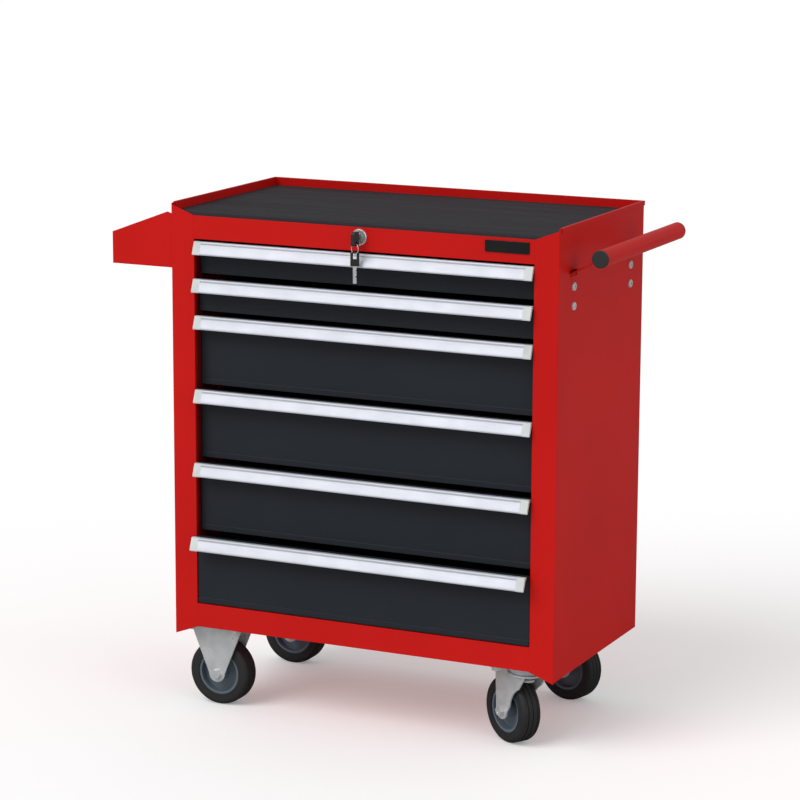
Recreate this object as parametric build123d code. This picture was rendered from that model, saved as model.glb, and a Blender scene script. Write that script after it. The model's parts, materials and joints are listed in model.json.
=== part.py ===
from build123d import *

import math
import os

# Roller tool cabinet: a folded sheet-steel carcass with six drawers on slides,
# a rubber-lined top tray, a push handle on the right, an open bin on the left,
# two fixed castors (left) and two swivel castors (right).
# Working frame: X = 0 on the carcass centreline, Y = 0 on its front plane
# (Y grows to the back), Z = 0 on the floor. Everything is in millimetres.

# ---- driving dimensions -------------------------------------------------
cabinet_width = 616.0
cabinet_depth = 330.0
sheet = 1.2                     # carcass sheet thickness
post_width = 37.2               # front face of each side panel
jamb_depth = 30.0               # return of that face into the opening
bottom_rail_height = 36.0
top_rail_height = 34.7
rail_return = 14.0              # depth of the rails' inner folds
skirt_drop = 14.5               # side panels below the bottom rail
post_mitre = 13.8               # height of the cut across each post's end
side_skirt_drop = 12.8          # lower edge of the side walls below the bottom rail
hem = 8.0                       # folded hem along the side walls' lower edge
rim_height = 17.4               # top tray rim above its floor
rim_lip = 7.0                   # rim folded down outside the panels
lip_setback = 8.0               # front end of the outside lips
mat_thickness = 5.0
mat_clearance = 0.5
mat_corner = 22.0               # cut across the mat's two front corners

# drawers, from the top down
drawer_pitches = (55.5, 55.5, 111.0, 111.0, 111.0, 111.0)
drawer_rest_gaps = (0.0, 4.0, 0.0, 1.0, 5.0, 16.0)   # how far each stands open
first_pull_gap = 3.5            # opening's top to the first pull
drawer_spacing = 6.0            # face's lower edge to the next pull
sill_clearance = 1.5
drawer_recess = 18.0            # closed face behind the front plane
drawer_sheet = 1.0
drawer_depth = 300.0
face_side_clearance = 1.5
face_band = 8.0                 # doubled band along the face's lower edge
face_band_step = 0.8
wall_drop = 8.0                 # drawer walls below the face's top
wall_hem = 6.0
slide_travel = 260.0

# aluminium pulls
pull_height = 19.3
pull_rake = 6.8                 # how much further out the lower edge stands
pull_proud = 1.5                # upper edge in front of the front plane
pull_wall = 1.6
pull_lip = 1.2                  # the two lips that grip the drawer's flange
pull_grip = 6.0                 # how deep the lips reach over the flange
pull_cap_length = 12.0
pull_side_clearance = 1.0

# slides
slide_height = 35.0
slide_wall = 1.2
slide_space = 12.4              # opening's side to the drawer's wall
slide_length = 300.0
slide_setback = 22.0
slide_running = 0.3
slide_centre_up = 20.0          # slide centre above the drawer's floor
upright_width = 28.0
upright_places = (80.0, 222.0)   # front edges of the two on each side

# lock
lock_centre_below_top = 14.2
lock_rim_radius = 11.8
lock_rim_thickness = 3.0
lock_barrel_radius = 9.5
lock_barrel_length = 16.0
lock_plug_radius = 6.0
running_gap = 0.05
lock_nut_across = 24.0
lock_nut_thickness = 4.0
cam_length = 18.0
cam_width = 10.0
cam_thickness = 2.0
tail_radius = 2.5
lock_bar_width = 20.0
lock_bar_thickness = 2.5
lock_bar_drop = 8.0
bar_back_gap = 0.3
key_thickness = 2.0
key_height = 7.5
key_bow = (6.0, 15.0, 20.0)     # across, along the axis, and tall

# name plate
plate_size = (67.3, 1.5, 16.8)
plate_from_right = 44.8         # its right end from the cabinet's right side
plate_below_top = 4.6

# side bin (left)
bin_reach = 102.0
bin_length = 296.0
bin_setback = 2.0
bin_floor_below_top = 80.5
bin_outer_height = 47.5
bin_inner_height = 83.0
bin_sheet = 1.2

# push handle (right)
handle_reach = 57.0             # tube centre out from the side
handle_centre_below_top = 22.5
handle_radius = 12.5
handle_wall = 1.5
handle_length = 308.0
handle_cap_radius = 12.6
handle_cap_thickness = 2.4
handle_spigot = 14.0
bracket_spacing = 222.0
bracket_width = 26.0
bracket_thickness = 2.5
bracket_slot_below_top = 52.5
bracket_foot_height = 62.0
slot_clearance = 0.5

# fasteners through the panels
bolt_radius = 3.0
bolt_head_radius = 6.0
bolt_head_height = 3.2
recess_length = 6.0             # cross recess in each head
recess_width = 1.3
recess_depth = 1.6
bolt_length = 10.0
nut_across = 10.0
nut_thickness = 4.0
handle_bolt_drops = (70.8, 98.8)   # below the tray floor
bin_bolt_drop = 30.0
bin_bolt_inset = 40.0

# castors
castor_height = 128.0
wheel_radius = 50.0
tyre_width = 32.0
rim_radius = 34.0
rim_width = 28.0
hub_radius = 12.0
hub_width = 37.0
axle_radius = 4.0
fork_gap = 38.0
fork_wall = 2.5
fixed_fork_half_top = 44.0
tread_grooves = (-8.0, 0.0, 8.0)
groove_size = (1.6, 1.2)        # across and deep
castor_plate = (95.0, 76.0, 2.5)
castor_holes = (75.0, 57.0)
castor_bolt_radius = 4.0
castor_nut_across = 13.0
castor_nut_thickness = 6.0
castor_inset_x = 57.0           # castor centre from the cabinet's side
castor_inset_y = 44.0           # castor centre from the front and the back
swivel_offset = 35.0
swivel_rest_angles = (149.0, 166.0)  # trail direction of the front and rear ones
race_radius = 27.0
race_height = 10.6
kingpin_radius = 5.0
race_gap = 0.2

# ---- derived levels and places ------------------------------------------
half_width = cabinet_width / 2
opening_half = half_width - post_width
rail_bottom = castor_height
opening_bottom = rail_bottom + bottom_rail_height
opening_height = (first_pull_gap + sum(drawer_pitches) - drawer_spacing + sill_clearance)
opening_top = opening_bottom + opening_height
tray_floor_top = opening_top + top_rail_height
rim_top = tray_floor_top + rim_height
wall_half = half_width - sheet
back_inside = cabinet_depth - sheet
face_half = opening_half - face_side_clearance
drawer_half = opening_half - slide_space
lock_z = tray_floor_top - lock_centre_below_top
handle_x = half_width + handle_reach
handle_z = tray_floor_top - handle_centre_below_top
handle_mid_y = cabinet_depth / 2
castor_x = half_width - castor_inset_x
castor_ys = (castor_inset_y, cabinet_depth - castor_inset_y)
pull_nose = pull_proud + pull_rake


# ---- shape helpers --------------------------------------------------------
def block(x, y, z):
    """A box from its (low, high) pairs."""
    size = [high - low for low, high in (x, y, z)]
    centre = [(high + low) / 2 for low, high in (x, y, z)]
    return Pos(*centre) * Box(*size)


def rod(axis, centre, radius, length):
    """A cylinder about an X, Y or Z axis, centred on a point."""
    turn = {"X": Rot(0, 90, 0), "Y": Rot(90, 0, 0), "Z": Rot(0, 0, 0)}[axis]
    return Pos(*centre) * turn * Cylinder(radius, length)


def hexagon(axis, centre, across, thickness, bore):
    """A hexagon nut with a plain bore, centred on a point."""
    turn = {"X": Rot(0, 90, 0), "Y": Rot(90, 0, 0), "Z": Rot(0, 0, 0)}[axis]
    prism = extrude(RegularPolygon(across / math.sqrt(3), 6), thickness / 2, both=True)
    return Pos(*centre) * turn * (prism - Cylinder(bore, 2 * thickness))


def outline_xz(points, y):
    """A prism between two Y values from (x, z) corners."""
    wire = Polyline(*[(px, y[0], pz) for px, pz in points], close=True)
    return extrude(make_face(wire), y[1] - y[0], dir=(0, 1, 0))


def outline_yz(points, x):
    """A prism between two X values from (y, z) corners."""
    wire = Polyline(*[(x[0], py, pz) for py, pz in points], close=True)
    return extrude(make_face(wire), x[1] - x[0], dir=(1, 0, 0))


def outline_xy(points, z):
    """A prism between two Z values from (x, y) corners."""
    wire = Polyline(*[(px, py, z[0]) for px, py in points], close=True)
    return extrude(make_face(wire), z[1] - z[0], dir=(0, 0, 1))


def span(side, a, b):
    """An X interval on the left (-1) or the right (+1)."""
    return tuple(sorted((side * a, side * b)))


# ---- carcass ----------------------------------------------------------------
def handle_bracket_ys():
    return [handle_mid_y + k * bracket_spacing / 2 for k in (-1, 1)]


def bin_bolt_ys():
    return [bin_setback + bin_bolt_inset, bin_setback + bin_length - bin_bolt_inset]


def bolt_places():
    """Each panel bolt: side, y and z."""
    right = [(1, y, tray_floor_top - drop)
             for y in handle_bracket_ys() for drop in handle_bolt_drops]
    left = [(-1, y, tray_floor_top - bin_bolt_drop) for y in bin_bolt_ys()]
    return right + left


def side_panel(side):
    """Side wall, front post and jamb folded from one sheet."""
    low = rail_bottom - skirt_drop
    high = tray_floor_top + post_mitre
    wall_low = rail_bottom - side_skirt_drop
    outer, inner = side * half_width, side * opening_half
    wall = block(span(side, wall_half, half_width), (0, cabinet_depth - sheet),
                 (wall_low, rim_top - sheet))
    post = outline_xz([(outer, low), (inner, low + post_mitre),
                       (inner, tray_floor_top), (outer, high)], (0, sheet))
    jamb = block(span(side, opening_half, opening_half + sheet), (0, jamb_depth),
                 (opening_bottom, opening_top))
    fold = block(span(side, wall_half - sheet, half_width), (sheet, back_inside),
                 (wall_low, wall_low + hem))
    panel = wall + post + jamb + fold
    for bolt_side, y, z in bolt_places():
        if bolt_side == side:
            panel -= rod("X", (side * half_width, y, z), bolt_radius + running_gap, 8 * sheet)
    if side > 0:
        slot_z = tray_floor_top - bracket_slot_below_top
        half_slot = bracket_width / 2 + slot_clearance
        for y in handle_bracket_ys():
            panel -= block((wall_half - sheet, half_width + sheet), (y - half_slot, y + half_slot),
                           (slot_z - 3.2, slot_z + 5.2))
    return panel


def back_panel():
    wall_low = rail_bottom - side_skirt_drop
    return block((-half_width, half_width), (back_inside, cabinet_depth),
                 (wall_low, rim_top - sheet))


def castor_centres():
    """(x, y) of the two fixed and the two swivel castors."""
    return [(side * castor_x, y) for side in (-1, 1) for y in castor_ys]


def hole_offsets():
    return [(i * castor_holes[0] / 2, j * castor_holes[1] / 2) for i in (-1, 1) for j in (-1, 1)]


def bottom_panel():
    inset = wall_half - sheet
    floor = block((-inset, inset), (sheet, back_inside), (rail_bottom, rail_bottom + sheet))
    turned_up = [block(span(side, inset - sheet, inset), (2 * sheet, back_inside),
                       (rail_bottom, rail_bottom + 3 * hem)) for side in (-1, 1)]
    panel = floor + turned_up[0] + turned_up[1]
    for cx, cy in castor_centres():
        for dx, dy in hole_offsets():
            panel -= rod("Z", (cx + dx, cy + dy, rail_bottom),
                         castor_bolt_radius + running_gap, 6 * sheet)
    return panel


def front_bottom_rail():
    width = (-opening_half, opening_half)
    face = block(width, (0, sheet), (rail_bottom, opening_bottom))
    sill = block(width, (0, rail_return), (opening_bottom - sheet, opening_bottom))
    return face + sill


def front_top_rail():
    width = (-opening_half, opening_half)
    face = block(width, (0, sheet), (opening_top, tray_floor_top))
    lower = block(width, (0, rail_return), (opening_top, opening_top + sheet))
    hole = rod("Y", (0, 0, lock_z), lock_barrel_radius + running_gap, 6 * sheet)
    return face + lower - hole


def top_tray():
    """Tray floor with rims folded over the side and back panels."""
    floor = block((-wall_half, wall_half), (sheet, back_inside),
                  (tray_floor_top - sheet, tray_floor_top))
    rim = (tray_floor_top - sheet, rim_top)
    fold = (rim_top - sheet, rim_top)
    lip = (rim_top - rim_lip, rim_top)
    tray = floor
    for side in (-1, 1):
        tray += block(span(side, wall_half - sheet, wall_half), (lip_setback, back_inside), rim)
        tray += block(span(side, wall_half - sheet, half_width + sheet),
                      (lip_setback, cabinet_depth + sheet), fold)
        tray += block(span(side, half_width, half_width + sheet),
                      (lip_setback, cabinet_depth + sheet), lip)
    tray += block((-wall_half, wall_half), (back_inside - sheet, back_inside), rim)
    tray += block((-half_width, half_width), (back_inside - sheet, cabinet_depth + sheet), fold)
    tray += block((-half_width - sheet, half_width + sheet),
                  (cabinet_depth, cabinet_depth + sheet), lip)
    return tray


def top_mat():
    half = wall_half - sheet - mat_clearance
    front = sheet + mat_clearance
    back = back_inside - sheet - mat_clearance
    cut_x = half - mat_corner
    corners = [(-cut_x, front), (cut_x, front), (half, front + mat_corner), (half, back),
               (-half, back), (-half, front + mat_corner)]
    return outline_xy(corners, (tray_floor_top, tray_floor_top + mat_thickness))


def slide_uprights():
    """Four folded channels that carry the slides between side wall and opening."""
    solids = []
    for side in (-1, 1):
        for y in upright_places:
            outer = block(span(side, opening_half, wall_half), (y, y + upright_width),
                          (rail_bottom + 4 * hem, tray_floor_top - 2 * sheet))
            hollow = block(span(side, opening_half + sheet, wall_half + sheet),
                           (y + sheet, y + upright_width - sheet), (rail_bottom, rim_top))
            solids.append(outer - hollow)
    return solids


# ---- drawers ------------------------------------------------------------------
def pull_top(index):
    return opening_top - first_pull_gap - sum(drawer_pitches[:index])


def face_levels(index):
    """Upper and lower edge of a drawer's face."""
    top = pull_top(index)
    return top - pull_lip, top - drawer_pitches[index] + drawer_spacing


def drawer_floor(index):
    return face_levels(index)[1] + drawer_sheet


def slide_z(index):
    return drawer_floor(index) + slide_centre_up


def slide_channel(side, z, x_web, x_open, height, length, y):
    """A C-shaped slide member whose web is at x_web and whose mouth is at x_open."""
    direction = 1 if x_open > x_web else -1
    outer = block(span(side, x_web, x_open), (y, y + length), (z - height / 2, z + height / 2))
    hollow = block(span(side, x_web + direction * slide_wall, x_open + direction * slide_wall),
                   (y - 1, y + length + 1),
                   (z - height / 2 + slide_wall, z + height / 2 - slide_wall))
    return outer - hollow


def slide_rails():
    return [slide_channel(side, slide_z(index), opening_half, opening_half - 10,
                          slide_height, slide_length, slide_setback)
            for index in range(len(drawer_pitches)) for side in (-1, 1)]


def drawer_slides(index):
    height = slide_height - 2 * slide_wall - 2 * slide_running
    return [slide_channel(side, slide_z(index), drawer_half, drawer_half + 10,
                          height, slide_length - 10, slide_setback)
            for side in (-1, 1)]


def drawer_box(index):
    """Face, flange, floor, walls and back folded from one sheet."""
    top, bottom = face_levels(index)
    floor_z = drawer_floor(index)
    wall_top = top - wall_drop
    front = drawer_recess
    back = drawer_recess + drawer_depth
    t = drawer_sheet
    box = block((-face_half, face_half), (front, front + t), (bottom, top))
    box += block((-face_half, face_half), (front - face_band_step, front + t),
                 (bottom, bottom + face_band))
    box += block((-face_half, face_half), (pull_lip - pull_proud, front + t), (top - t, top))
    box += block((-drawer_half, drawer_half), (front, back), (floor_z, floor_z + t))
    box += block((-drawer_half, drawer_half), (back - t, back), (floor_z, wall_top))
    for side in (-1, 1):
        box += block(span(side, drawer_half - t, drawer_half), (front, back), (floor_z, wall_top))
        box += block(span(side, drawer_half - 2 * t, drawer_half), (front + t, back),
                     (wall_top - wall_hem, wall_top))
    return box


def pull_profile(inner_thickness, top):
    """(y, z) corners of the pull: a raked face with two lips that grip the flange."""
    face_top = -pull_proud
    nose = -pull_nose
    low = top - pull_height
    lip = pull_lip
    grip = pull_grip - pull_proud
    flange_low = top - pull_lip - drawer_sheet
    return [(grip, top), (face_top + 0.5, top), (face_top - 0.3, top - 0.7),
            (nose, low + 1.6), (nose + 0.5, low), (nose + inner_thickness + 0.4, low),
            (nose + inner_thickness + 0.6, low + 1.6),
            (face_top + inner_thickness, flange_low - lip), (grip, flange_low - lip),
            (grip, flange_low), (lip - pull_proud, flange_low),
            (lip - pull_proud, top - lip), (grip, top - lip)]


def drawer_pull(index):
    half = opening_half - pull_side_clearance - pull_cap_length
    return outline_yz(pull_profile(pull_wall, pull_top(index)), (-half, half))


def drawer_pull_caps(index):
    outer = opening_half - pull_side_clearance
    return [outline_yz(pull_profile(2 * pull_wall, pull_top(index)),
                       span(side, outer - pull_cap_length, outer)) for side in (-1, 1)]


# ---- lock -----------------------------------------------------------------------
def lock_housing():
    rim = rod("Y", (0, -lock_rim_thickness / 2, lock_z), lock_rim_radius, lock_rim_thickness)
    rim = chamfer(rim.edges().group_by(Axis.Y)[0], 1.0)
    barrel = rod("Y", (0, lock_barrel_length / 2, lock_z), lock_barrel_radius, lock_barrel_length)
    bore = rod("Y", (0, 0, lock_z), lock_plug_radius + running_gap, 4 * lock_barrel_length)
    nut = hexagon("Y", (0, sheet + lock_nut_thickness / 2, lock_z), lock_nut_across,
                  lock_nut_thickness, lock_barrel_radius + running_gap)
    return [rim + barrel - bore, nut]


def lock_plug():
    """Plug with its key slot, and the tail rod that works the bar at the back."""
    front = -lock_rim_thickness - 0.6
    cam_front = lock_barrel_length + 0.2
    plug = rod("Y", (0, (front + cam_front) / 2, lock_z), lock_plug_radius, cam_front - front)
    plug -= block((-key_thickness / 2 - 0.1, key_thickness / 2 + 0.1), (front - 1, 12),
                  (lock_z - key_height / 2 - 0.1, lock_z + key_height / 2 + 0.1))
    tail_end = drawer_recess + drawer_depth
    tail = rod("Y", (0, (cam_front + tail_end) / 2, lock_z), tail_radius, tail_end - cam_front)
    for y in (cam_front, tail_end - cam_thickness):
        tail += block((-cam_width / 2, cam_length), (y, y + cam_thickness),
                      (lock_z - cam_width / 2, lock_z + cam_width / 2))
    return [plug, tail]


def lock_key():
    across, along, tall = key_bow
    blade = block((-key_thickness / 2, key_thickness / 2), (-14, 11),
                  (lock_z - key_height / 2, lock_z + key_height / 2))
    bow = block((-across / 2, across / 2), (-lock_rim_thickness - 5 - along, -lock_rim_thickness - 5),
                (lock_z - tall / 2 - 1, lock_z + tall / 2 - 1))
    bow = fillet(bow.edges().filter_by(Axis.X), 3.0)
    eye = rod("X", (0, -lock_rim_thickness - 5 - along / 2, lock_z - tall / 2 + 4), 2.2, 2 * across)
    return bow + blade - eye


def lock_bar():
    """Upright bar behind the drawers; the tail rod's cam presses it down."""
    back = back_inside - bar_back_gap
    bar = block((-lock_bar_width / 2, lock_bar_width / 2), (back - lock_bar_thickness, back),
                (opening_bottom + 6, lock_z - cam_width))
    for index in range(len(drawer_pitches)):
        z = face_levels(index)[0] - wall_drop + 1
        bar += block((-lock_bar_width / 2, lock_bar_width / 2), (back - 8, back), (z - 2, z))
    return bar


def name_plate():
    width, thickness, height = plate_size
    right = half_width - plate_from_right
    top = tray_floor_top - plate_below_top
    plate = block((right - width, right), (-thickness, 0), (top - height, top))
    return fillet(plate.edges().filter_by(Axis.Y), 1.0)


# ---- bin and handle ---------------------------------------------------------------
def side_bin():
    """Open-topped bin of folded sheet with sloping end walls."""
    t = bin_sheet
    floor = tray_floor_top - bin_floor_below_top
    inner, outer = -half_width, -half_width - bin_reach
    front, back = bin_setback, bin_setback + bin_length
    end = [(inner, floor), (outer, floor), (outer, floor + bin_outer_height),
           (inner - 8, floor + bin_inner_height), (inner, floor + bin_inner_height - 3)]
    bin_body = outline_xz(end, (front, front + t)) + outline_xz(end, (back - t, back))
    bin_body += block((outer, inner), (front, back), (floor, floor + t))
    bin_body += block((outer, outer + t), (front, back), (floor, floor + bin_outer_height))
    bin_body += block((outer, outer + 2 * t), (front, back),
                      (floor + bin_outer_height - 8, floor + bin_outer_height))
    bin_body += block((inner - t, inner), (front, back), (floor, floor + bin_inner_height - 3))
    for side, y, z in bolt_places():
        if side < 0:
            bin_body -= rod("X", (inner, y, z), bolt_radius + running_gap, 8 * sheet)
    return bin_body


def handle_tube():
    tube = rod("Y", (handle_x, handle_mid_y, handle_z), handle_radius, handle_length)
    return tube - rod("Y", (handle_x, handle_mid_y, handle_z), handle_radius - handle_wall,
                      2 * handle_length)


def handle_end_caps():
    caps = []
    for direction in (-1, 1):
        face = handle_mid_y + direction * handle_length / 2
        head = rod("Y", (handle_x, face + direction * handle_cap_thickness / 2, handle_z),
                   handle_cap_radius, handle_cap_thickness)
        outer_edge = head.edges().group_by(Axis.Y)[0 if direction < 0 else -1]
        head = fillet(outer_edge, 1.2)
        spigot = rod("Y", (handle_x, face - direction * handle_spigot / 2, handle_z),
                     handle_radius - handle_wall - running_gap, handle_spigot)
        caps.append(head + spigot)
    return caps


def handle_brackets():
    """Plates bolted inside the panel whose tongues rise out to the tube."""
    slot_z = tray_floor_top - bracket_slot_below_top
    foot_x = (wall_half - bracket_thickness, wall_half)
    rise = handle_z - slot_z
    run = handle_x - wall_half
    length = math.hypot(rise, run)
    slope = math.degrees(math.atan2(rise, run))
    brackets = []
    for y in handle_bracket_ys():
        width = (y - bracket_width / 2, y + bracket_width / 2)
        foot = block(foot_x, width, (slot_z - bracket_foot_height, slot_z))
        for drop in handle_bolt_drops:
            foot -= rod("X", (wall_half, y, tray_floor_top - drop),
                        bolt_radius + running_gap, 8 * sheet)
        tongue = Pos(wall_half - 1, y, slot_z) * Rot(0, -slope, 0) * (
            Pos(length / 2, 0, 0) * Box(length, bracket_width, bracket_thickness))
        tongue -= rod("Y", (handle_x, handle_mid_y, handle_z), handle_radius + 0.02,
                      2 * handle_length)
        tongue -= block((foot_x[0] - 9, foot_x[0]), (0, cabinet_depth), (slot_z - 20, slot_z + 20))
        pieces = (foot + tongue).solids()
        brackets.append(max(pieces, key=lambda piece: piece.volume))
    return brackets


def panel_fasteners():
    """Pan-head bolts from outside with nuts inside the panels."""
    solids = []
    for side, y, z in bolt_places():
        seat = half_width + (bin_sheet if side < 0 else 0)
        inside = wall_half - (bracket_thickness if side > 0 else 0)
        head = rod("X", (side * (seat + bolt_head_height / 2), y, z), bolt_head_radius,
                   bolt_head_height)
        head = fillet(head.edges().group_by(Axis.X)[-1 if side > 0 else 0], 1.4)
        shank = rod("X", (side * (seat - bolt_length / 2), y, z), bolt_radius, bolt_length)
        bolt = head + shank
        face = side * (seat + bolt_head_height)
        for half_y, half_z in ((recess_length / 2, recess_width / 2),
                               (recess_width / 2, recess_length / 2)):
            bolt -= block((face - recess_depth, face + recess_depth), (y - half_y, y + half_y),
                          (z - half_z, z + half_z))
        solids.append(bolt)
        solids.append(hexagon("X", (side * (inside - nut_thickness / 2), y, z), nut_across,
                              nut_thickness, bolt_radius + running_gap))
    return solids


# ---- castors ------------------------------------------------------------------------
def fork_leg(centre_top, half_top, centre_low, top_z):
    """(u, z) face of a fork leg that narrows from the plate to a round end at the axle."""
    foot = 13.0
    low = wheel_radius
    left = (centre_top - half_top, top_z)
    right = (centre_top + half_top, top_z)
    hug_left = (centre_low - foot, 0, low)
    hug_right = (centre_low + foot, 0, low)
    lines = Polyline((hug_left[0], 0, low), (left[0], 0, left[1]), (right[0], 0, right[1]),
                     (hug_right[0], 0, low))
    end = ThreePointArc(hug_right, (centre_low, 0, low - foot), hug_left)
    return make_face(lines + end)


def fork_legs(centre_top, half_top, centre_low, top_z):
    profile = fork_leg(centre_top, half_top, centre_low, top_z)
    legs = []
    for direction in (-1, 1):
        leg = extrude(profile, fork_wall, dir=(0, direction, 0))
        leg = Pos(0, direction * fork_gap / 2, 0) * leg
        legs.append(leg - rod("Y", (centre_low, 0, wheel_radius), axle_radius + running_gap,
                              4 * fork_gap))
    return legs


def plate_with_holes():
    length, width, thickness = castor_plate
    plate = block((-length / 2, length / 2), (-width / 2, width / 2),
                  (castor_height - thickness, castor_height))
    plate = fillet(plate.edges().filter_by(Axis.Z), 6.0)
    for dx, dy in hole_offsets():
        plate -= rod("Z", (dx, dy, castor_height), castor_bolt_radius + running_gap, 4 * thickness)
    return plate


def fixed_fork():
    plate_under = castor_height - castor_plate[2]
    fork = plate_with_holes()
    for leg in fork_legs(0, fixed_fork_half_top, 0, plate_under):
        fork += leg
    return fork


def swivel_plate():
    """Top plate with its upper ball race and the kingpin below it."""
    under = castor_height - castor_plate[2]
    race_low = under - race_height
    pin_low = race_low - 15.0
    race = rod("Z", (0, 0, under - race_height / 2), race_radius, race_height)
    race = fillet(race.edges().group_by(Axis.Z)[0], 2.0)
    pin = rod("Z", (0, 0, (race_low + pin_low) / 2), kingpin_radius, race_low - pin_low)
    head = rod("Z", (0, 0, pin_low + 1.5), 2 * kingpin_radius, 3.0)
    return plate_with_holes() + race + pin + head


def crown_levels():
    """Upper face of the fork's crown and its underside."""
    upper = castor_height - castor_plate[2] - race_height - race_gap
    return upper, upper - fork_wall


def swivel_fork():
    """Crown that turns on the kingpin, and two raked legs."""
    upper, under = crown_levels()
    crown = rod("Z", (0, 0, (upper + under) / 2), race_radius + 3, upper - under)
    crown += block((-20, swivel_offset + 16), (-fork_gap / 2 - fork_wall, fork_gap / 2 + fork_wall),
                   (under, upper))
    fork = crown
    for leg in fork_legs(15.5, 35.5, swivel_offset, under):
        fork += leg
    scoop_radius = 46.0
    fork -= rod("Y", (-22, 0, wheel_radius + 8), scoop_radius - 9, 4 * fork_gap)
    fork -= rod("Z", (0, 0, under), kingpin_radius + running_gap, 20)
    return fork


def axle_bolt(offset):
    """Axle bolt with its head on one leg and a nut on the other."""
    half = fork_gap / 2 + fork_wall
    shank = rod("Y", (offset, 2.5, wheel_radius), axle_radius, 2 * half + 5)
    head = hexagon("Y", (offset, -half - 2.5, wheel_radius), castor_nut_across, 5.0, 0.5)
    nut = hexagon("Y", (offset, half + 3, wheel_radius), castor_nut_across, 6.0,
                  axle_radius + running_gap)
    bolt = head + shank + rod("Y", (offset, -half - 2.5, wheel_radius), 1.0, 5.0)
    return [bolt, nut]


def tyre(offset):
    """Rubber tyre with rounded shoulders, bonded round the rim."""
    body = rod("Y", (offset, 0, wheel_radius), wheel_radius, tyre_width)
    body = fillet(body.edges(), 7.0)
    groove_width, groove_depth = groove_size
    for y in tread_grooves:
        centre = (offset, y, wheel_radius)
        body -= (rod("Y", centre, wheel_radius + 1, groove_width)
                 - rod("Y", centre, wheel_radius - groove_depth, 2 * groove_width))
    return body - rod("Y", (offset, 0, wheel_radius), rim_radius + running_gap, 2 * tyre_width)


def wheel_rim(offset):
    """Pressed rim: outer band, dished web and hub."""
    centre = (offset, 0, wheel_radius)
    band = rod("Y", centre, rim_radius, rim_width) - rod("Y", centre, rim_radius - 4, 2 * rim_width)
    web = rod("Y", centre, rim_radius - 3, 6.0)
    hub = rod("Y", centre, hub_radius, hub_width)
    return band + web + hub - rod("Y", centre, axle_radius + running_gap, 4 * rim_width)


def castor_fasteners():
    """Four bolts a castor, with their nuts under the plates."""
    solids = []
    under = castor_height - castor_plate[2]
    top = castor_height + sheet
    for cx, cy in castor_centres():
        for dx, dy in hole_offsets():
            x, y = cx + dx, cy + dy
            low = under - castor_nut_thickness - 1
            shank = rod("Z", (x, y, (low + top) / 2), castor_bolt_radius, top - low)
            head = rod("Z", (x, y, top + 2), castor_bolt_radius + 3, 4.0)
            solids.append(shank + head)
            solids.append(hexagon("Z", (x, y, under - castor_nut_thickness / 2),
                                  castor_nut_across, castor_nut_thickness,
                                  castor_bolt_radius + running_gap))
    return solids


def placed(shapes, where):
    return [where * shape for shape in shapes]


# ---- all nodes ----------------------------------------------------------------------
def build_nodes():
    nodes = {
        "side_panel_left": [side_panel(-1)],
        "side_panel_right": [side_panel(1)],
        "back_panel": [back_panel()],
        "bottom_panel": [bottom_panel()],
        "front_bottom_rail": [front_bottom_rail()],
        "front_top_rail": [front_top_rail()],
        "top_tray": [top_tray()],
        "top_mat": [top_mat()],
        "slide_uprights": slide_uprights(),
        "slide_rails": slide_rails(),
        "side_bin": [side_bin()],
        "handle_tube": [handle_tube()],
        "handle_end_caps": handle_end_caps(),
        "handle_brackets": handle_brackets(),
        "panel_fasteners": panel_fasteners(),
        "name_plate": [name_plate()],
        "lock_housing": lock_housing(),
        "lock_plug": lock_plug(),
        "lock_key": [lock_key()],
        "lock_bar": [lock_bar()],
        "castor_fasteners": castor_fasteners(),
    }
    for index, gap in enumerate(drawer_rest_gaps):
        name = "drawer_%d" % (index + 1)
        out = Pos(0, -gap, 0)
        nodes[name + "_box"] = placed([drawer_box(index)], out)
        nodes[name + "_pull"] = placed([drawer_pull(index)], out)
        nodes[name + "_pull_caps"] = placed(drawer_pull_caps(index), out)
        nodes[name + "_slides"] = placed(drawer_slides(index), out)
    nodes["fixed_forks"] = []
    nodes["fixed_axles"] = []
    nodes["swivel_plates"] = []
    for end, y in zip(("front", "rear"), castor_ys):
        fixed = Pos(-castor_x, y, 0)
        nodes["fixed_forks"] += placed([fixed_fork()], fixed)
        nodes["fixed_axles"] += placed(axle_bolt(0), fixed)
        nodes["fixed_rim_" + end] = placed([wheel_rim(0)], fixed)
        nodes["fixed_tyre_" + end] = placed([tyre(0)], fixed)
        nodes["swivel_plates"] += placed([swivel_plate()], Pos(castor_x, y, 0))
    for end, y, angle in zip(("front", "rear"), castor_ys, swivel_rest_angles):
        turned = Pos(castor_x, y, 0) * Rot(0, 0, angle)
        nodes["swivel_fork_" + end] = placed([swivel_fork()] + axle_bolt(swivel_offset), turned)
        nodes["swivel_rim_" + end] = placed([wheel_rim(swivel_offset)], turned)
        nodes["swivel_tyre_" + end] = placed([tyre(swivel_offset)], turned)
    return nodes


# The part's origin is the centre of its box's underside.
front_reach = pull_nose + max(drawer_rest_gaps)
box_left = -half_width - bin_reach
box_right = handle_x + handle_cap_radius
origin_x = (box_left + box_right) / 2
origin_y = (cabinet_depth + sheet - front_reach) / 2

nodes = build_nodes()
os.makedirs("parts", exist_ok=True)
for node_name, shapes in nodes.items():
    solids = [Pos(-origin_x, -origin_y, 0) * solid for shape in shapes for solid in shape.solids()]
    export_step(Compound(children=solids), "parts/%s.step" % node_name)
print(len(nodes), "nodes")
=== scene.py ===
import json
import math

import bmesh
import bpy
from mathutils import Euler, Matrix, Vector

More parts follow.
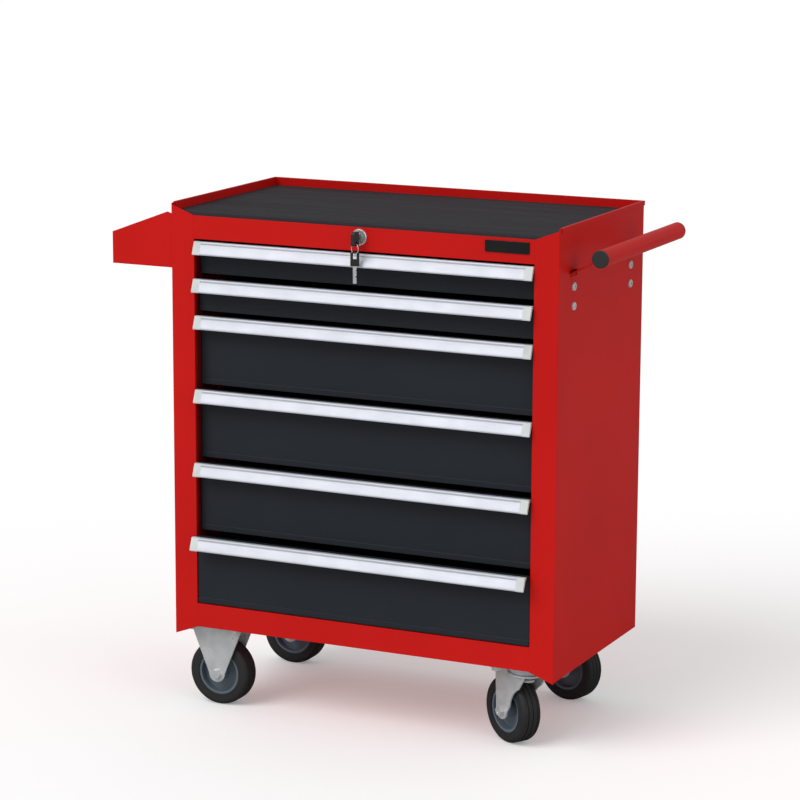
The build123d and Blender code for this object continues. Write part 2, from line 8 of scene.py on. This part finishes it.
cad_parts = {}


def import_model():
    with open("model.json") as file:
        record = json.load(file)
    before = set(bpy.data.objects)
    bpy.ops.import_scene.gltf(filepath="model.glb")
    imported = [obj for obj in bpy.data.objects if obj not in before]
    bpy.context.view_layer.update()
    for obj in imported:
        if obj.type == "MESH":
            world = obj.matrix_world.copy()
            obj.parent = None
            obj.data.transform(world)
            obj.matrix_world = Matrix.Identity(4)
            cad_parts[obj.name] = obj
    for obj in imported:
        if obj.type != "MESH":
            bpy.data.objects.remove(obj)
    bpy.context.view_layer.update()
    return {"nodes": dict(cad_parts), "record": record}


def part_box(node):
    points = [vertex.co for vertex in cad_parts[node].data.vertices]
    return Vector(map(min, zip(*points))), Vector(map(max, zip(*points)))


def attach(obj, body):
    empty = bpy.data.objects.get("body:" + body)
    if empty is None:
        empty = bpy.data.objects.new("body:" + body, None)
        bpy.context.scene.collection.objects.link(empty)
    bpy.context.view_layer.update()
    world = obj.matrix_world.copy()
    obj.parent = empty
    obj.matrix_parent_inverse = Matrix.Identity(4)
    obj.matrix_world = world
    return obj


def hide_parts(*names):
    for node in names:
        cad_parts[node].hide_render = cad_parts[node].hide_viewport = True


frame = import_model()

MM = 0.001


# ---- shader bench -------------------------------------------------------
class Wire:
    """A shader value on which ordinary arithmetic works."""

    def __init__(self, bench, socket):
        self.bench = bench
        self.socket = socket

    def beside(self, output):
        """Another output of the node that this value comes from."""
        return Wire(self.bench, self.socket.node.outputs[output])

    def _maths(self, operation, first, second):
        return self.bench.add("ShaderNodeMath", {"operation": operation}, {0: first, 1: second})

    def __add__(self, other):
        return self._maths("ADD", self, other)

    def __radd__(self, other):
        return self._maths("ADD", other, self)

    def __sub__(self, other):
        return self._maths("SUBTRACT", self, other)

    def __rsub__(self, other):
        return self._maths("SUBTRACT", other, self)

    def __mul__(self, other):
        return self._maths("MULTIPLY", self, other)

    def __rmul__(self, other):
        return self._maths("MULTIPLY", other, self)


class Bench:
    """One material under construction, with its Principled shader."""

    def __init__(self, name, material=None):
        self.material = material or bpy.data.materials.new(name)
        self.material.use_nodes = True
        self.tree = self.material.node_tree
        self.shader = self.tree.nodes["Principled BSDF"]
        self.place = self.add("ShaderNodeTexCoord", output="Object")

    def add(self, kind, settings=None, values=None, output=0):
        node = self.tree.nodes.new(kind)
        for key, value in (settings or {}).items():
            if key == "stops":
                for stop, (position, colour) in zip(node.color_ramp.elements, value):
                    stop.position = position
                    stop.color = colour
            else:
                setattr(node, key, value)
        for key, value in (values or {}).items():
            self.feed(node.inputs[key], value)
        return Wire(self, node.outputs[output])

    def feed(self, socket, value):
        if isinstance(value, Wire):
            self.tree.links.new(value.socket, socket)
        else:
            socket.default_value = value

    def set(self, **values):
        """Feed the shader's sockets; base_color stands for Base Color."""
        for key, value in values.items():
            title = " ".join(word.capitalize() for word in key.split("_"))
            self.feed(self.shader.inputs[title.replace("Ior", "IOR")], value)

    def stretched(self, scale):
        return self.add("ShaderNodeMapping", {}, {"Vector": self.place, "Scale": scale},
                        output="Vector")

    def noise(self, scale, detail=3.0, vector=None):
        return self.add("ShaderNodeTexNoise", {},
                        {"Vector": vector or self.place, "Scale": scale, "Detail": detail})

    def blend(self, factor, first, second):
        node = self.tree.nodes.new("ShaderNodeMix")
        node.data_type = "RGBA"
        self.feed(node.inputs["Factor"], factor)
        self.feed(node.inputs[6], first)
        self.feed(node.inputs[7], second)
        return Wire(self, node.outputs[2])

    def ramp(self, value, low, high):
        """0 below low, 1 above high."""
        return self.add("ShaderNodeMapRange", {"clamp": True},
                        {"Value": value, "From Min": low, "From Max": high})

    def bump(self, height, depth, strength=1.0, normal=None):
        values = {"Height": height, "Distance": depth, "Strength": strength}
        if normal:
            values["Normal"] = normal
        return self.add("ShaderNodeBump", {}, values)

    def round_edges(self, radius):
        return self.add("ShaderNodeBevel", {"samples": 4}, {"Radius": radius}, output="Normal")


def tint(colour, factor):
    return tuple(channel * factor for channel in colour[:3]) + (1.0,)


# ---- finishes -------------------------------------------------------------
RED = (0.570, 0.0065, 0.0045)
RED_COAT = {"colour": RED, "rough": 0.34, "peel": 420.0, "coat": 0.04, "gloss": 0.12}
GRAPHITE = (0.018, 0.0225, 0.029)
RIM_BLUE = (0.12, 0.155, 0.19)
COAT_ROUGHNESS = 0.18
PEEL_DEPTH = 0.12 * MM

# Painted shade on the opening's returns: the red darkens from the first depth to the second
# behind the front, on the inner side of the sheet alone.
# Colour and strength of the painted shade on the jamb returns.
JAMB_PAINTED_SHADE = (0.05, 0.006, 0.006, 1)
JAMB_SHADE_STRENGTH = 0.85
JAMB_START, JAMB_END = 1 * MM, 9 * MM
SHEET_INNER, SHEET_OUTER = 1.6 * MM, 2.4 * MM

RIB_SCALE = 100.0
RIB_DEPTH = 0.5 * MM
MAT_FRESH = (0.026, 0.025, 0.029, 1)
MAT_DUSTY = (0.050, 0.048, 0.055, 1)
# Painted shade laid along the rib wave.
MAT_RIB_SHADE = (0.018, 0.017, 0.02, 1)

DRAWN_LINES = 1400.0
ZINC_BRIGHT = (0.80, 0.82, 0.83, 1)
ZINC_DULL = (0.58, 0.61, 0.62, 1)


def powder_coat(name, colour, rough, peel, coat, gloss):
    """Baked paint: faint cloudiness, orange peel and softened sheet edges."""
    bench = Bench(name)
    cloud = bench.ramp(bench.noise(5.0, 4.0), 0.3, 0.7)
    speck = bench.ramp(bench.noise(900.0, 2.0), 0.35, 0.75)
    shade = bench.blend(cloud, tint(colour, 0.93), tint(colour, 1.05))
    bench.set(base_color=bench.blend(speck * 0.25, shade, tint(colour, 0.8)),
              roughness=rough + 0.06 * cloud + 0.05 * speck,
              coat_weight=coat, coat_roughness=COAT_ROUGHNESS, specular_ior_level=gloss)
    grain = bench.noise(peel, 2.0)
    bench.set(normal=bench.bump(grain, PEEL_DEPTH, 0.35, bench.round_edges(0.9 * MM)))
    return bench.material


def shaded_jamb(material, middle_x, half_opening, front_y):
    """Painted shade: darken the paint on the returns inside the drawer opening, where shadow
    falls.
    """
    bench = Bench(material.name, material)
    across = bench.add("ShaderNodeSeparateXYZ", {}, {"Vector": bench.place}, output="X")
    deep = bench.ramp(across.beside("Y"), front_y + JAMB_START, front_y + JAMB_END)
    offset = bench.add("ShaderNodeMath", {"operation": "ABSOLUTE"}, {0: across - middle_x})
    inside = 1 - bench.ramp(offset, half_opening + SHEET_INNER, half_opening + SHEET_OUTER)
    paint = Wire(bench, bench.shader.inputs["Base Color"].links[0].from_socket)
    # Painted shade: blend the returns' red towards a dark red.
    bench.set(base_color=bench.blend(deep * inside * JAMB_SHADE_STRENGTH, paint, JAMB_PAINTED_SHADE))


def ribbed_rubber(name):
    """Mat with fine ribs along its length, streaked with dust, and painted shade that follows the
    rib wave.
    """
    bench = Bench(name)
    ribs = bench.add("ShaderNodeTexWave", {"bands_direction": "Y", "wave_profile": "SIN"},
                     {"Vector": bench.place, "Scale": RIB_SCALE, "Distortion": 0.15,
                      "Detail": 1.0}, output="Fac")
    streak = bench.ramp(bench.noise(1.0, 5.0, bench.stretched((3.0, 90.0, 3.0))), 0.35, 0.7)
    speck = bench.noise(1500.0, 2.0)
    worn = bench.blend(streak, MAT_FRESH, MAT_DUSTY)
    # Painted shade: the mat darkens in step with the rib wave.
    bench.set(base_color=bench.blend(ribs * 0.35, worn, MAT_RIB_SHADE),
              roughness=0.62 + 0.12 * streak, specular_ior_level=0.12)
    bench.set(normal=bench.bump(ribs + 0.25 * speck, RIB_DEPTH, 0.7))
    return bench.material


def drawn_metal(name, colour, metallic, rough, along, depth=0.05):
    """Metal with fine drawing lines along X, or an even grain when along is 1."""
    bench = Bench(name)
    lines = bench.noise(1.0, 4.0, bench.stretched((DRAWN_LINES / along, DRAWN_LINES, DRAWN_LINES)))
    soft = bench.ramp(bench.noise(30.0, 3.0), 0.3, 0.7)
    bench.set(base_color=bench.blend(lines * 0.5 + soft * 0.3, tint(colour, 1.06),
                                     tint(colour, 0.86)),
              metallic=metallic, roughness=rough + 0.1 * lines + 0.05 * soft)
    bench.set(normal=bench.bump(lines, depth * MM, 0.4, bench.round_edges(0.4 * MM)))
    return bench.material


def zinc_plate(name):
    """Bright zinc with the cloudy patches of plating and dulled spots."""
    bench = Bench(name)
    patches = bench.add("ShaderNodeTexVoronoi", {}, {"Vector": bench.place, "Scale": 140.0})
    cloud = bench.ramp(bench.noise(45.0, 5.0), 0.35, 0.65)
    bench.set(base_color=bench.blend(cloud * 0.7 + patches * 0.2, ZINC_BRIGHT, ZINC_DULL),
              metallic=0.5, roughness=0.26 + 0.16 * cloud)
    bench.set(normal=bench.bump(bench.noise(600.0, 3.0), 0.05 * MM, 0.5,
                                bench.round_edges(0.6 * MM)))
    return bench.material


def moulded(name, colour, rough, grain, depth):
    """Moulded plastic or rubber with a fine even grain."""
    bench = Bench(name)
    cloud = bench.ramp(bench.noise(24.0, 4.0), 0.3, 0.7)
    fine = bench.noise(grain, 2.0)
    bench.set(base_color=bench.blend(cloud, tint(colour, 0.85), tint(colour, 1.15)),
              roughness=rough + 0.1 * cloud + 0.06 * fine)
    bench.set(normal=bench.bump(fine, depth * MM, 0.5, bench.round_edges(0.5 * MM)))
    return bench.material


FINISHES = {
    "red_paint": powder_coat("red_powder_coat", **RED_COAT),
    "panel_paint": powder_coat("red_panel_coat", **RED_COAT),
    "dark_paint": powder_coat("graphite_powder_coat", GRAPHITE, 0.36, 480.0, 0.05, 0.25),
    "rubber_mat": ribbed_rubber("ribbed_rubber"),
    "anodised": drawn_metal("satin_anodised", (0.58, 0.60, 0.66), 0.25, 0.36, 60.0),
    "chrome": drawn_metal("bright_chrome", (0.86, 0.86, 0.87), 0.75, 0.08, 1.0, 0.01),
    "zinc": zinc_plate("bright_zinc"),
    "grey_plastic": moulded("pale_grey_plastic", (0.60, 0.64, 0.63), 0.36, 900.0, 0.03),
    "black_plastic": moulded("black_plastic", (0.020, 0.020, 0.022), 0.40, 900.0, 0.06),
    "black_gloss": moulded("black_gloss_plate", (0.008, 0.008, 0.009), 0.12, 300.0, 0.01),
    "tyre": moulded("black_tyre_rubber", (0.016, 0.016, 0.017), 0.55, 700.0, 0.15),
    "wheel_rim": powder_coat("blue_grey_rim_paint", RIM_BLUE, 0.42, 500.0, 0.0, 0.3),
}
SLOT_OF = {part["node"]: part["material_slot"] for part in frame["record"]["subparts"]}


def dress(piece, finish):
    piece.data.materials.clear()
    piece.data.materials.append(FINISHES[finish])


def finish_node(node, finish):
    for place in frame["nodes"][node].material_slots:
        place.material = FINISHES[finish]


for node_name in frame["nodes"]:
    finish_node(node_name, SLOT_OF[node_name])

# The side panels' paint gets painted shade on the returns inside the drawer opening.
rail_low, rail_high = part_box("front_top_rail")
shaded_jamb(FINISHES["panel_paint"], (rail_low[0] + rail_high[0]) / 2,
            (rail_high[0] - rail_low[0]) / 2, rail_low[1])
for panel in ("side_panel_left", "side_panel_right"):
    finish_node(panel, "panel_paint")


# ---- modelling helpers ------------------------------------------------------
SMOOTH_ANGLE = math.radians(35)
SAME_PLACE = 1e-6


def start():
    """Deselect everything, so that an operator acts on the new piece alone."""
    if bpy.context.object and bpy.context.object.mode != "OBJECT":
        bpy.ops.object.mode_set(mode="OBJECT")
    bpy.ops.object.select_all(action="DESELECT")


def pick(piece):
    """Make the piece the only one selected, and the active one."""
    start()
    piece.select_set(True)
    bpy.context.view_layer.objects.active = piece


def settle(piece, name, finish, body):
    """Apply the piece's place, smooth it, dress it and let it ride."""
    pick(piece)
    bpy.ops.object.transform_apply(location=True, rotation=True, scale=True)
    bpy.ops.object.shade_smooth_by_angle(angle=SMOOTH_ANGLE)
    piece.name = name
    dress(piece, finish)
    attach(piece, body)


def bevel(piece, width, segments=3):
    modifier = piece.modifiers.new("Bevel", "BEVEL")
    modifier.width = width
    modifier.segments = segments
    modifier.limit_method = "ANGLE"


def slab(centre, size, rounding):
    """A box with rounded edges, applied."""
    start()
    bpy.ops.mesh.primitive_cube_add(size=1, location=centre)
    piece = bpy.context.object
    piece.scale = size
    bpy.ops.object.transform_apply(location=False, rotation=False, scale=True)
    bevel(piece, rounding)
    bpy.ops.object.modifier_apply(modifier="Bevel")
    return piece


def cut(piece, tool):
    """Take the tool's shape out of the piece."""
    pick(piece)
    modifier = piece.modifiers.new("Cut", "BOOLEAN")
    modifier.object = tool
    modifier.operation = "DIFFERENCE"
    bpy.ops.object.modifier_apply(modifier="Cut")
    bpy.data.objects.remove(tool)


def extruded_bar(outline, x_low, x_high):
    """A bar along X whose section is swept out edge by edge from (y, z) corners."""
    start()
    bpy.ops.mesh.primitive_plane_add(size=1)
    bar = bpy.context.object
    bpy.ops.object.mode_set(mode="EDIT")
    mesh = bmesh.from_edit_mesh(bar.data)
    bmesh.ops.delete(mesh, geom=[v for v in mesh.verts if v.co.y > 0], context="VERTS")
    for corner in mesh.verts:
        corner.co = (x_low if corner.co.x < 0 else x_high, *outline[0])
        corner.select = True
    mesh.select_flush(True)
    bmesh.update_edit_mesh(bar.data)
    for (y0, z0), (y1, z1) in zip(outline, outline[1:] + outline[:1]):
        bpy.ops.mesh.extrude_region_move(
            TRANSFORM_OT_translate={"value": (0, y1 - y0, z1 - z0)})
    bpy.ops.mesh.select_all(action="SELECT")
    bpy.ops.mesh.remove_doubles(threshold=SAME_PLACE)
    for end in (x_low, x_high):
        bpy.ops.mesh.select_all(action="DESELECT")
        mesh = bmesh.from_edit_mesh(bar.data)
        for corner in mesh.verts:
            corner.select = abs(corner.co.x - end) < SAME_PLACE
        mesh.select_flush(True)
        bpy.ops.mesh.edge_face_add()
    bpy.ops.mesh.select_all(action="SELECT")
    bpy.ops.mesh.normals_make_consistent(inside=False)
    bpy.ops.object.mode_set(mode="OBJECT")
    return bar


# ---- drawer pulls ---------------------------------------------------------------
DRAWERS = 6
# The section in millimetres: back from the nose, and down from the top. A bead runs
# along the top of the raked face, with a groove under it, and the lower edge rolls in.
PULL_SECTION = [
    (12.8, 0.0), (7.7, 0.0), (7.1, -0.15), (6.7, -0.5), (6.45, -1.0), (5.75, -3.0),
    (5.8, -3.2), (6.35, -3.45), (6.2, -4.0), (5.3, -4.15), (5.05, -4.35), (0.4, -16.6),
    (0.1, -17.2), (0.0, -17.8), (0.15, -18.5), (0.55, -19.1), (1.15, -19.3), (1.8, -19.1),
    (2.1, -18.5), (2.0, -17.6), (8.4, -3.4), (12.8, -3.4), (12.8, -2.2), (8.0, -2.2),
    (8.0, -1.2), (12.8, -1.2)]


def drawer_pull(number):
    node = "drawer_%d_pull" % number
    low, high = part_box(node)
    section = [(low[1] + back * MM, high[2] + down * MM) for back, down in PULL_SECTION]
    pull = extruded_bar(section, low[0], high[0])
    settle(pull, "pull_%d" % number, "anodised", "drawer_%d" % number)
    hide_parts(node)


for number in range(1, DRAWERS + 1):
    drawer_pull(number)


# ---- keys ---------------------------------------------------------------------
RING_RADIUS = 7.5 * MM
RING_WIRE = 0.6 * MM
RING_TURN = math.radians(-24)
RING_DROP = 0.4 * MM              # wire's upper side below the eye of the key
KEY_TURN = math.radians(26)
EYE_BACK, EYE_UP = 7.5 * MM, 4.0 * MM

BOW_SIZE = Vector((13, 3.0, 21)) * MM
BOW_RISE = 3.2 * MM               # bow's top above the ring's lowest point
BOW_ROUNDING = 1.3 * MM
SLOT_SIZE = Vector((5, 6, 9)) * MM
SLOT_RISE = 1.4 * MM
SLOT_ROUNDING = 1.0 * MM
BLADE_SIZE = Vector((5.4, 1.7, 26)) * MM
BLADE_ROUNDING = 0.35 * MM
BLADE_OVERLAP = 1 * MM
NOTCH_DEPTHS = (1.6, 0.9, 2.0, 1.2)       # in millimetres, from the bow down
NOTCH_FIRST, NOTCH_PITCH = 6, 4.6         # in millimetres below the bow
NOTCH_SPREAD = 1.4                        # a turned cube's side to the notch's depth
NOTCH_LENGTH = 4 * MM
GROOVE_SIZE = (1.4 * MM, 0.9 * MM, 30 * MM)
GROOVE_OFFSET = -1.0 * MM
GROOVE_ROUNDING = 0.1 * MM


def key_ring(top):
    """Wire ring that hangs from the eye of the key in the lock."""
    start()
    centre = top - Vector((0, 0, RING_RADIUS + RING_DROP))
    bpy.ops.mesh.primitive_torus_add(major_radius=RING_RADIUS, minor_radius=RING_WIRE,
                                     major_segments=64, minor_segments=12, location=centre,
                                     rotation=(math.pi / 2, 0, RING_TURN))
    settle(bpy.context.object, "key_ring", "chrome", "lock_plug")
    return centre - Vector((0, 0, RING_RADIUS))


def spare_key(hang):
    """Second key: a slotted plastic bow and a toothed steel blade."""
    bow_middle = -BOW_SIZE.z / 2 + BOW_RISE
    bow_end = bow_middle - BOW_SIZE.z / 2
    bow = slab((0, 0, bow_middle), BOW_SIZE, BOW_ROUNDING)
    cut(bow, slab((0, 0, -SLOT_SIZE.z / 2 + SLOT_RISE), SLOT_SIZE, SLOT_ROUNDING))
    blade_middle = bow_end - BLADE_SIZE.z / 2 + BLADE_OVERLAP
    blade = slab((0, 0, blade_middle), BLADE_SIZE, BLADE_ROUNDING)
    for step, depth in enumerate(NOTCH_DEPTHS):
        start()
        bpy.ops.mesh.primitive_cube_add(
            size=1, rotation=(0, math.radians(45), 0),
            location=(BLADE_SIZE.x / 2, 0, bow_end - (NOTCH_FIRST + NOTCH_PITCH * step) * MM))
        notch = bpy.context.object
        notch.scale = (depth * NOTCH_SPREAD * MM, NOTCH_LENGTH, depth * NOTCH_SPREAD * MM)
        cut(blade, notch)
    cut(blade, slab((GROOVE_OFFSET, -BLADE_SIZE.y / 2, blade_middle), GROOVE_SIZE,
                    GROOVE_ROUNDING))
    for piece, name, finish in ((bow, "spare_key_bow", "black_plastic"),
                                (blade, "spare_key_blade", "zinc")):
        piece.matrix_world = (Matrix.Translation(hang) @ Matrix.Rotation(KEY_TURN, 4, "Z")
                              @ piece.matrix_world)
        settle(piece, name, finish, "lock_plug")


key_low, key_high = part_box("lock_key")
eye = Vector(((key_low[0] + key_high[0]) / 2, key_low[1] + EYE_BACK, key_low[2] + EYE_UP))
spare_key(key_ring(eye))


# ---- stage ----------------------------------------------------------------------
WHITE = (1, 1, 1, 1)
FLOOR_SIZE = 90
FLOOR_SEEN = (0.90, 0.90, 0.90, 1)
FLOOR_MIRRORED = (0.22, 0.22, 0.22, 1)    # so that glossy sheet doesn't wash out
FLOOR_GLOW = 0.22                         # lifts the floor to the photograph's white
SKY_LIGHT, SKY_SEEN = 0.52, 1.0
SKY_MIRRORED = 0.7
CAMERA_PLACE = (1.8433, -3.9000, 1.3521)
CAMERA_DOWN, CAMERA_AROUND, CAMERA_ROLL = 11.54, 25.19, 0.25
LENS, SENSOR = 132.5, 36.0
CAMERA_REACH = 200.0


def floor():
    start()
    bpy.ops.mesh.primitive_plane_add(size=FLOOR_SIZE, location=(0, 0, 0))
    ground = bpy.context.object
    ground.name = "floor"
    bench = Bench("pale_floor")
    seen = bench.add("ShaderNodeLightPath", output="Is Camera Ray")
    mirrored = bench.add("ShaderNodeLightPath", output="Is Glossy Ray")
    bench.set(base_color=bench.blend(mirrored, FLOOR_SEEN, FLOOR_MIRRORED),
              roughness=0.9, specular_ior_level=0.0)
    bench.feed(bench.shader.inputs["Emission Color"], WHITE)
    bench.feed(bench.shader.inputs["Emission Strength"], FLOOR_GLOW * seen)
    ground.data.materials.append(bench.material)


def world():
    sky = bpy.data.worlds.new("studio")
    bpy.context.scene.world = sky
    sky.use_nodes = True
    nodes, links = sky.node_tree.nodes, sky.node_tree.links
    background = nodes["Background"]
    path = nodes.new("ShaderNodeLightPath")

    def joined(operation, first, second):
        node = nodes.new("ShaderNodeMath")
        node.operation = operation
        links.new(first, node.inputs[0])
        links.new(second, node.inputs[1])
        return node.outputs[0]

    def level(mask, unmasked, masked):
        node = nodes.new("ShaderNodeMapRange")
        node.inputs["To Min"].default_value = unmasked
        node.inputs["To Max"].default_value = masked
        links.new(mask, node.inputs["Value"])
        return node.outputs[0]

    seen = joined("MAXIMUM", path.outputs["Is Camera Ray"], path.outputs["Is Transmission Ray"])
    strength = joined("MULTIPLY", level(seen, SKY_LIGHT, SKY_SEEN),
                      level(path.outputs["Is Glossy Ray"], 1.0, SKY_MIRRORED))
    background.inputs["Color"].default_value = WHITE
    links.new(strength, background.inputs["Strength"])


def sun(name, azimuth, elevation, strength, softness):
    """A soft lamp that shines from that side; azimuth 0 is the front, 90 the right."""
    data = bpy.data.lights.new(name, "SUN")
    data.energy = strength
    data.angle = math.radians(softness)
    lamp = bpy.data.objects.new(name, data)
    lamp.rotation_euler = Euler((math.radians(90 - elevation), 0, math.radians(azimuth)))
    bpy.context.scene.collection.objects.link(lamp)


def camera():
    data = bpy.data.cameras.new("camera")
    data.sensor_width = SENSOR
    data.lens = LENS
    data.clip_end = CAMERA_REACH
    view = bpy.data.objects.new("camera", data)
    turn = Euler((math.radians(90 - CAMERA_DOWN), 0, math.radians(CAMERA_AROUND))).to_matrix()
    roll = Matrix.Rotation(math.radians(CAMERA_ROLL), 3, "Z")
    view.matrix_world = Matrix.Translation(CAMERA_PLACE) @ (turn @ roll).to_4x4()
    bpy.context.scene.collection.objects.link(view)
    bpy.context.scene.camera = view


floor()
world()
sun("key_lamp", azimuth=-28, elevation=42, strength=1.45, softness=40)
sun("fill_lamp", azimuth=75, elevation=30, strength=0.35, softness=60)
camera()
bpy.context.scene.view_settings.view_transform = "Standard"
